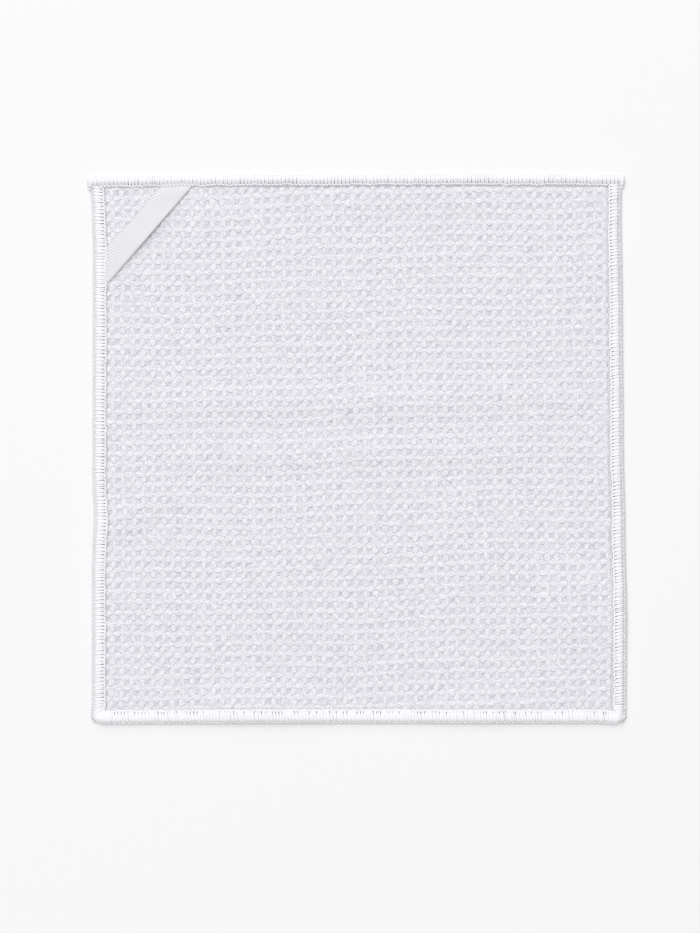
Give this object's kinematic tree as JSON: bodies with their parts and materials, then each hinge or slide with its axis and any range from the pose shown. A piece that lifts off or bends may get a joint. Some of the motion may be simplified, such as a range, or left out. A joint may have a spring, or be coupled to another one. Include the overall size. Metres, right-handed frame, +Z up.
{
  "type": "microfiber dishcloth",
  "caption": "Flat waffle-weave microfiber dishcloth with overlocked edges and a slanting ribbon loop caught across one corner.",
  "frame": {"origin": "middle of the cloth on the surface that it lies on", "axes": "+X to the right across the cloth, +Y up the cloth towards the edge nearer the ribbon, +Z up from the surface"},
  "size_m": [0.3044, 0.3102, 0.0048],
  "materials": {
    "waffle_cloth": "white microfiber waffle weave, matt and slightly cool, with pale grey pits between raised floats",
    "overlock_thread": "bright white textured polyester thread, soft sheen, laid side by side over the edge",
    "corner_ribbon": "white woven ribbon, finely ribbed with a low satin sheen"
  },
  "bodies": {
    "root": {"waffle_cloth": "waffle_cloth", "overlock_bottom": "overlock_thread", "overlock_right": "overlock_thread", "overlock_top": "overlock_thread", "overlock_left": "overlock_thread", "corner_ribbon": "corner_ribbon"}
  },
  "joints": []
}
